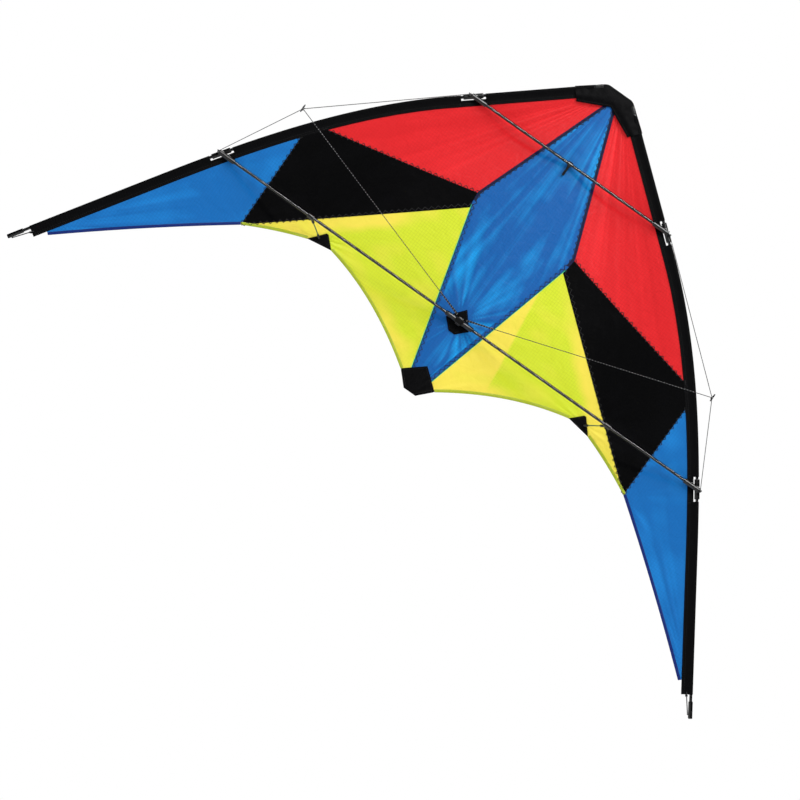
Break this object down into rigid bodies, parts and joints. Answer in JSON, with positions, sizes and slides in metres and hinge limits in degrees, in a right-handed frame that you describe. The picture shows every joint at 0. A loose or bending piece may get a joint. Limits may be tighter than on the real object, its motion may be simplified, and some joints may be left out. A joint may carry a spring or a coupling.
{
  "type": "delta kite",
  "caption": "Two-line delta stunt kite with rod frame, panelled ripstop sail, stand-offs and bridle in flying trim.",
  "frame": {"origin": "midway between the knots of the two tow loops, where the flying lines hold the kite, in front of the sail", "axes": "+X along the span to the kite's right wing as the flyer sees it, +Z along the spine towards the nose, +Y from the flyer towards the back of the sail"},
  "size_m": [1.4214, 0.4039, 0.8008],
  "materials": {
    "carbon_rod": "pultruded carbon-fibre tube with a satin clear coat",
    "green_glass_fibre": "solid pultruded glass-fibre rod, satin",
    "black_vinyl": "moulded black vinyl, half gloss",
    "ferrule_alloy": "plain drawn aluminium rod",
    "shock_cord": "braided elastic cord",
    "black_webbing": "woven polyester tape, matt",
    "red_ripstop": "coated ripstop nylon, slight sheen",
    "blue_ripstop": "coated ripstop nylon, slight sheen",
    "yellow_ripstop": "coated ripstop nylon, slight sheen",
    "black_ripstop": "coated ripstop nylon, slight sheen",
    "bridle_line": "braided polyester line"
  },
  "bodies": {
    "spine": {"spine_rod": "carbon_rod", "spine_nose_cap": "black_vinyl", "spine_tail_cap": "black_vinyl", "centre_tee": "black_vinyl", "spreader_keeper": "black_vinyl"},
    "upper_spreader": {"upper_spreader": "carbon_rod"},
    "left_wing": {"left_upper_leading_rod": "carbon_rod", "left_lower_leading_rod": "carbon_rod", "left_leading_ferrule": "ferrule_alloy", "left_leading_nose_cap": "black_vinyl", "left_tip_nock": "black_vinyl", "left_tip_cord": "shock_cord", "left_leading_sleeve": "black_webbing", "left_upper_connector": "black_vinyl", "left_lower_connector": "black_vinyl", "left_lower_spar": "carbon_rod", "left_centre_panel": "blue_ripstop", "left_red_panel": "red_ripstop", "left_black_panel": "black_ripstop", "left_yellow_panel": "yellow_ripstop", "left_tip_panel": "blue_ripstop", "left_tee_patch": "black_webbing", "left_tail_patch": "black_webbing", "left_standoff_patch": "black_webbing", "left_nose_cover": "black_webbing", "left_bridle_upper_leg": "bridle_line", "left_bridle_lower_leg": "bridle_line", "left_bridle_centre_leg": "bridle_line", "left_tow_loop": "bridle_line"},
    "right_wing": {"right_upper_leading_rod": "carbon_rod", "right_lower_leading_rod": "carbon_rod", "right_leading_ferrule": "ferrule_alloy", "right_leading_nose_cap": "black_vinyl", "right_tip_nock": "black_vinyl", "right_tip_cord": "shock_cord", "right_leading_sleeve": "black_webbing", "right_upper_connector": "black_vinyl", "right_lower_connector": "black_vinyl", "right_lower_spar": "carbon_rod", "right_centre_panel": "blue_ripstop", "right_red_panel": "red_ripstop", "right_black_panel": "black_ripstop", "right_yellow_panel": "yellow_ripstop", "right_tip_panel": "blue_ripstop", "right_tee_patch": "black_webbing", "right_tail_patch": "black_webbing", "right_standoff_patch": "black_webbing", "right_nose_cover": "black_webbing", "right_bridle_upper_leg": "bridle_line", "right_bridle_lower_leg": "bridle_line", "right_bridle_centre_leg": "bridle_line", "right_tow_loop": "bridle_line"},
    "left_standoff": {"left_standoff_fitting": "black_vinyl", "left_standoff_rod": "green_glass_fibre", "left_standoff_end_cap": "black_vinyl"},
    "right_standoff": {"right_standoff_fitting": "black_vinyl", "right_standoff_rod": "green_glass_fibre", "right_standoff_end_cap": "black_vinyl"}
  },
  "joints": [
    {"name": "left_wing_fold", "type": "hinge", "parent": "spine", "child": "left_wing", "pos_m": [0, 0.3465, 0], "axis": [0, 0, -1], "range_deg": [0, 72], "deforming": ["left_nose_cover", "left_bridle_centre_leg", "left_upper_connector"]},
    {"name": "right_wing_fold", "type": "hinge", "parent": "spine", "child": "right_wing", "pos_m": [0, 0.3465, 0], "axis": [0, 0, 1], "range_deg": [0, 72], "deforming": ["right_nose_cover", "right_bridle_centre_leg", "right_upper_connector", "centre_tee"]},
    {"name": "spreader_swing", "type": "hinge", "parent": "spine", "child": "upper_spreader", "pos_m": [0, 0.3325, 0.201], "axis": [0, 1, 0], "range_deg": [0, 90], "deforming": ["spreader_keeper"]},
    {"name": "left_standoff_swing", "type": "hinge", "parent": "left_wing", "child": "left_standoff", "pos_m": [-0.307, 0.3325, -0.124], "axis": [-1, 0, 0], "range_deg": [0, 90]},
    {"name": "right_standoff_swing", "type": "hinge", "parent": "right_wing", "child": "right_standoff", "pos_m": [0.307, 0.3325, -0.124], "axis": [-1, 0, 0], "range_deg": [0, 90]}
  ]
}
